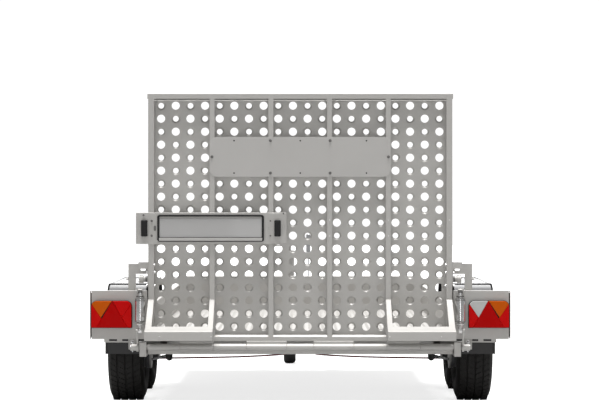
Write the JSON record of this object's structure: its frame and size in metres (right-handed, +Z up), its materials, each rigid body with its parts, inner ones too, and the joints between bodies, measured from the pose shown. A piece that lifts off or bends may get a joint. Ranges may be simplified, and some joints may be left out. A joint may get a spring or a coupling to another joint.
{
  "type": "flatbed machinery trailer",
  "caption": "Tandem-axle machinery trailer with a low walled deck, an upright perforated loading ramp, V drawbar, ball coupling and jockey wheel.",
  "frame": {"origin": "on the ground, in the middle of the trailer's overall box", "axes": "+Y forwards to the coupling, +Z up, +X to the trailer's right"},
  "size_m": [2.108, 4.728, 1.618],
  "materials": {
    "galvanised": "hot-dip galvanised, satin with soft spangle",
    "floor": "galvanised tread sheet, satin",
    "zinc": "bright zinc plated",
    "cast": "zinc-flake coated casting, matte",
    "black_plastic": "moulded black plastic, satin",
    "black_rubber": "matte rubber",
    "tyre": "matte tyre rubber",
    "rim": "silver paint, satin",
    "lamp_lens": "moulded lens, gloss",
    "plate_white": "blank plate, satin",
    "panel_grey": "flat sheet, matte",
    "cable": "dark red cable sheath, satin"
  },
  "bodies": {
    "chassis": {"side_member_left": "galvanised", "side_member_right": "galvanised", "cross_members": "galvanised", "rear_beam": "galvanised", "floor_sheet": "floor", "side_wall_left": "galvanised", "side_wall_right": "galvanised", "front_board": "galvanised", "rear_post_left": "galvanised", "rear_post_right": "galvanised", "lamp_box_left": "galvanised", "lamp_box_right": "galvanised", "rear_lamps": "lamp_lens", "mudguard_left": "black_plastic", "mudguard_right": "black_plastic", "mudguard_stays": "galvanised", "drawbar_left": "galvanised", "drawbar_right": "galvanised", "overrun_housing": "galvanised", "gaiter": "black_rubber", "coupling_head": "cast", "handbrake_lever": "zinc", "jockey_clamp": "galvanised", "jockey_tube": "galvanised", "axle_rear": "galvanised", "axle_front": "galvanised", "swing_arms": "galvanised", "brake_cables": "cable", "buffers": "black_rubber", "lashing_eyes": "galvanised", "canister_pins": "galvanised"},
    "ramp": {"ramp_frame": "galvanised", "ramp_sheets": "galvanised", "ramp_name_plate": "panel_grey", "plate_holder": "galvanised", "plate_surround": "black_plastic", "number_plate": "plate_white", "prop_feet": "galvanised", "latch_bolts": "galvanised", "hinge_shaft": "galvanised"},
    "canister_tube_left": {"canister_left": "zinc"},
    "canister_tube_right": {"canister_right": "zinc"},
    "rod_left": {"canister_rod_left": "zinc"},
    "rod_right": {"canister_rod_right": "zinc"},
    "jockey_slide_tube": {"jockey_leg": "zinc"},
    "jockey_caster": {"jockey_fork": "galvanised"},
    "jockey_roller": {"jockey_wheel": "black_rubber"},
    "rear_left_wheel": {"wheel_rear_left": "rim", "tyre_rear_left": "tyre"},
    "rear_right_wheel": {"wheel_rear_right": "rim", "tyre_rear_right": "tyre"},
    "front_left_wheel": {"wheel_front_left": "rim", "tyre_front_left": "tyre"},
    "front_right_wheel": {"wheel_front_right": "rim", "tyre_front_right": "tyre"}
  },
  "joints": [
    {"name": "wheel_rear_left_spin", "type": "hinge", "parent": "chassis", "child": "rear_left_wheel", "pos_m": [-0.929, -1.134, 0.285], "axis": [1, 0, 0], "continuous": true},
    {"name": "wheel_rear_right_spin", "type": "hinge", "parent": "chassis", "child": "rear_right_wheel", "pos_m": [0.929, -1.134, 0.285], "axis": [1, 0, 0], "continuous": true},
    {"name": "wheel_front_left_spin", "type": "hinge", "parent": "chassis", "child": "front_left_wheel", "pos_m": [-0.929, -0.424, 0.285], "axis": [1, 0, 0], "continuous": true},
    {"name": "wheel_front_right_spin", "type": "hinge", "parent": "chassis", "child": "front_right_wheel", "pos_m": [0.929, -0.424, 0.285], "axis": [1, 0, 0], "continuous": true},
    {"name": "ramp_hinge", "type": "hinge", "parent": "chassis", "child": "ramp", "pos_m": [0, -2.084, 0.348], "axis": [1, 0, 0], "range_deg": [0, 106]},
    {"name": "canister_left_swing", "type": "hinge", "parent": "chassis", "child": "canister_tube_left", "pos_m": [-0.799, -2.106, 0.63], "axis": [1, 0, 0], "range_deg": [-4.86, 0]},
    {"name": "canister_left_stroke", "type": "slide", "parent": "canister_tube_left", "child": "rod_left", "axis": [0, -0.0652, -0.9979], "range_m": [0, 0.1435]},
    {"name": "canister_right_swing", "type": "hinge", "parent": "chassis", "child": "canister_tube_right", "pos_m": [0.799, -2.106, 0.63], "axis": [1, 0, 0], "range_deg": [-4.86, 0]},
    {"name": "canister_right_stroke", "type": "slide", "parent": "canister_tube_right", "child": "rod_right", "axis": [0, -0.0652, -0.9979], "range_m": [0, 0.1435]},
    {"name": "jockey_lift", "type": "slide", "parent": "chassis", "child": "jockey_slide_tube", "axis": [0, 0, 1], "range_m": [0, 0.08]},
    {"name": "jockey_swivel", "type": "hinge", "parent": "jockey_slide_tube", "child": "jockey_caster", "pos_m": [-0.07, 1.634, 0.25], "axis": [0, 0, 1], "continuous": true},
    {"name": "jockey_spin", "type": "hinge", "parent": "jockey_caster", "child": "jockey_roller", "pos_m": [-0.07, 1.586, 0.11], "axis": [1, 0, 0], "continuous": true}
  ],
  "couplings": [
    {"joint": "canister_left_swing", "follows": "ramp_hinge", "ratio": -0.04109},
    {"joint": "canister_left_stroke", "follows": "ramp_hinge", "m_per_rad": 0.077027},
    {"joint": "canister_right_swing", "follows": "ramp_hinge", "ratio": -0.04109},
    {"joint": "canister_right_stroke", "follows": "ramp_hinge", "m_per_rad": 0.077027}
  ]
}
